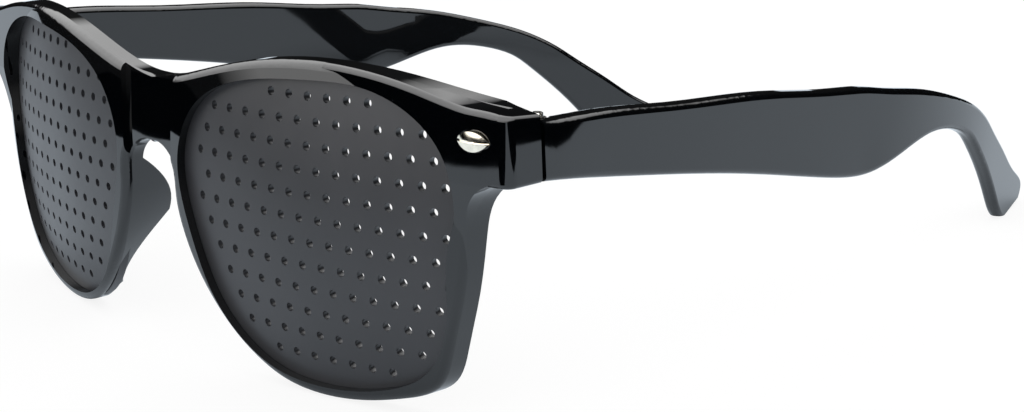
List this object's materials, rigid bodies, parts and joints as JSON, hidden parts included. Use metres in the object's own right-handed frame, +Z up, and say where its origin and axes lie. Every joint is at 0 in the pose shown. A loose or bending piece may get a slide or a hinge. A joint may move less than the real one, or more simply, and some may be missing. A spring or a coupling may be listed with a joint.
{
  "type": "pinhole glasses",
  "caption": "Black plastic eyewear with perforated plates in place of lenses, moulded nose pads, curved wrap-round front and folding temples with bent tips.",
  "frame": {"origin": "on the surface that the glasses stand on, under the middle of the whole", "axes": "+X to the wearer's left, +Y from the front towards the ears, +Z up; the glasses stand on their rims and temple tips with the temples open"},
  "size_m": [0.1434, 0.1536, 0.0486],
  "materials": {
    "black_plastic": "polished injection moulding, glossy",
    "plate_plastic": "satin moulded sheet",
    "hinge_metal": "plated steel",
    "screw_metal": "nickel plated steel",
    "stud_metal": "polished plated metal"
  },
  "bodies": {
    "front": {"front_frame": "black_plastic", "pinhole_plate_left": "plate_plastic", "pinhole_plate_right": "plate_plastic", "hinge_front_leaf_left": "hinge_metal", "hinge_front_leaf_right": "hinge_metal", "hinge_screw_left": "screw_metal", "hinge_screw_right": "screw_metal", "rivet_left": "stud_metal", "rivet_right": "stud_metal"},
    "temple_left_arm": {"temple_left": "black_plastic", "hinge_temple_leaf_left": "hinge_metal"},
    "temple_right_arm": {"temple_right": "black_plastic", "hinge_temple_leaf_right": "hinge_metal"}
  },
  "joints": [
    {"name": "fold_left", "type": "hinge", "parent": "front", "child": "temple_left_arm", "pos_m": [0.0672, -0.05698, 0.03843], "axis": [0, 0.0088, 1], "range_deg": [0, 84]},
    {"name": "fold_right", "type": "hinge", "parent": "front", "child": "temple_right_arm", "pos_m": [-0.0672, -0.05698, 0.03843], "axis": [0, -0.0088, -1], "range_deg": [0, 76]}
  ]
}
